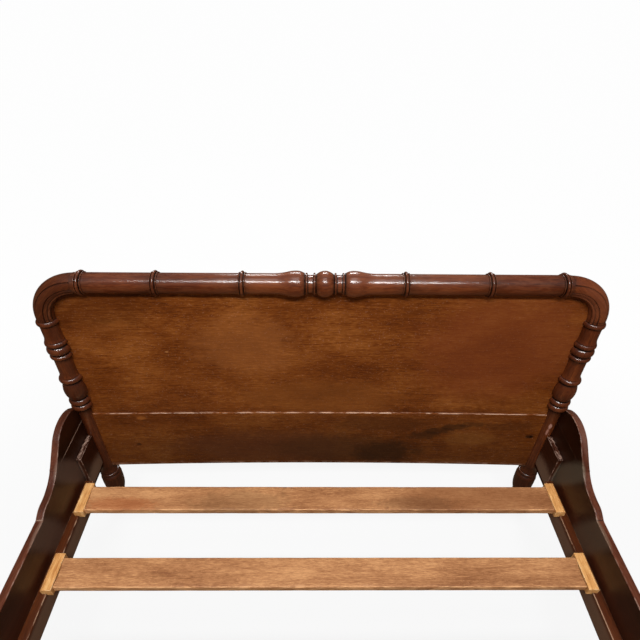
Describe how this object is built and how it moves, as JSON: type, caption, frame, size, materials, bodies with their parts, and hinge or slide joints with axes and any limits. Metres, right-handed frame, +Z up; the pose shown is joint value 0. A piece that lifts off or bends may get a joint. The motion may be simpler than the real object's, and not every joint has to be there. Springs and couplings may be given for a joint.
{
  "type": "wooden bed frame",
  "caption": "Double bed in turned dark wood: ringed, round-cornered head and foot frames with board panels, scrolled side rails on hooks, and loose slats on ledgers.",
  "frame": {"origin": "on the floor under the middle of the bed", "axes": "+X to the right seen from the foot, +Y towards the head, +Z up"},
  "size_m": [1.4206, 2.053, 0.9454],
  "materials": {
    "turned_mahogany": "gloss shellac",
    "panel_mahogany": "satin shellac",
    "rail_mahogany": "satin shellac",
    "ledger_wood": "worn stain",
    "slat_pine": "bare, darkened",
    "block_pine": "bare, sawn",
    "dowel_beech": "bare",
    "hook_steel": "dull",
    "screw_steel": "dull"
  },
  "bodies": {
    "root": {"foot_corner_dowels": "dowel_beech", "foot_left_corner_block": "rail_mahogany", "foot_left_elbow": "turned_mahogany", "foot_left_hook_plate": "hook_steel", "foot_left_post": "turned_mahogany", "foot_left_scroll": "rail_mahogany", "foot_lower_board": "panel_mahogany", "foot_panel_dowels": "dowel_beech", "foot_right_corner_block": "rail_mahogany", "foot_right_elbow": "turned_mahogany", "foot_right_hook_plate": "hook_steel", "foot_right_post": "turned_mahogany", "foot_right_scroll": "rail_mahogany", "foot_top_rail": "turned_mahogany", "foot_upper_board": "panel_mahogany", "head_corner_dowels": "dowel_beech", "head_left_corner_block": "rail_mahogany", "head_left_elbow": "turned_mahogany", "head_left_hook_plate": "hook_steel", "head_left_post": "turned_mahogany", "head_left_scroll": "rail_mahogany", "head_lower_board": "panel_mahogany", "head_panel_dowels": "dowel_beech", "head_right_corner_block": "rail_mahogany", "head_right_elbow": "turned_mahogany", "head_right_hook_plate": "hook_steel", "head_right_post": "turned_mahogany", "head_right_scroll": "rail_mahogany", "head_top_rail": "turned_mahogany", "head_upper_board": "panel_mahogany", "hook_pins": "hook_steel", "hook_rivets": "hook_steel", "left_ledger": "ledger_wood", "left_ledger_screws": "screw_steel", "left_side_rail": "rail_mahogany", "right_ledger": "ledger_wood", "right_ledger_screws": "screw_steel", "right_side_rail": "rail_mahogany", "scroll_dowels": "dowel_beech"},
    "slat_1": {"slat_1_board": "slat_pine", "slat_1_end_blocks": "block_pine"},
    "slat_2": {"slat_2_board": "slat_pine", "slat_2_end_blocks": "block_pine"},
    "slat_3": {"slat_3_board": "slat_pine", "slat_3_end_blocks": "block_pine"},
    "slat_4": {"slat_4_board": "slat_pine", "slat_4_end_blocks": "block_pine"},
    "slat_5": {"slat_5_board": "slat_pine", "slat_5_end_blocks": "block_pine"},
    "slat_6": {"slat_6_board": "slat_pine", "slat_6_end_blocks": "block_pine"},
    "slat_7": {"slat_7_board": "slat_pine", "slat_7_end_blocks": "block_pine"},
    "slat_8": {"slat_8_board": "slat_pine", "slat_8_end_blocks": "block_pine"},
    "slat_9": {"slat_9_board": "slat_pine", "slat_9_end_blocks": "block_pine"}
  },
  "joints": [
    {"name": "slat_1_lift", "type": "slide", "parent": "root", "child": "slat_1", "axis": [0, 0, 1], "range_m": [0, 0.3]},
    {"name": "slat_2_lift", "type": "slide", "parent": "root", "child": "slat_2", "axis": [0, 0, 1], "range_m": [0, 0.3]},
    {"name": "slat_3_lift", "type": "slide", "parent": "root", "child": "slat_3", "axis": [0, 0, 1], "range_m": [0, 0.3]},
    {"name": "slat_4_lift", "type": "slide", "parent": "root", "child": "slat_4", "axis": [0, 0, 1], "range_m": [0, 0.3]},
    {"name": "slat_5_lift", "type": "slide", "parent": "root", "child": "slat_5", "axis": [0, 0, 1], "range_m": [0, 0.3]},
    {"name": "slat_6_lift", "type": "slide", "parent": "root", "child": "slat_6", "axis": [0, 0, 1], "range_m": [0, 0.3]},
    {"name": "slat_7_lift", "type": "slide", "parent": "root", "child": "slat_7", "axis": [0, 0, 1], "range_m": [0, 0.3]},
    {"name": "slat_8_lift", "type": "slide", "parent": "root", "child": "slat_8", "axis": [0, 0, 1], "range_m": [0, 0.3]},
    {"name": "slat_9_lift", "type": "slide", "parent": "root", "child": "slat_9", "axis": [0, 0, 1], "range_m": [0, 0.3]}
  ]
}
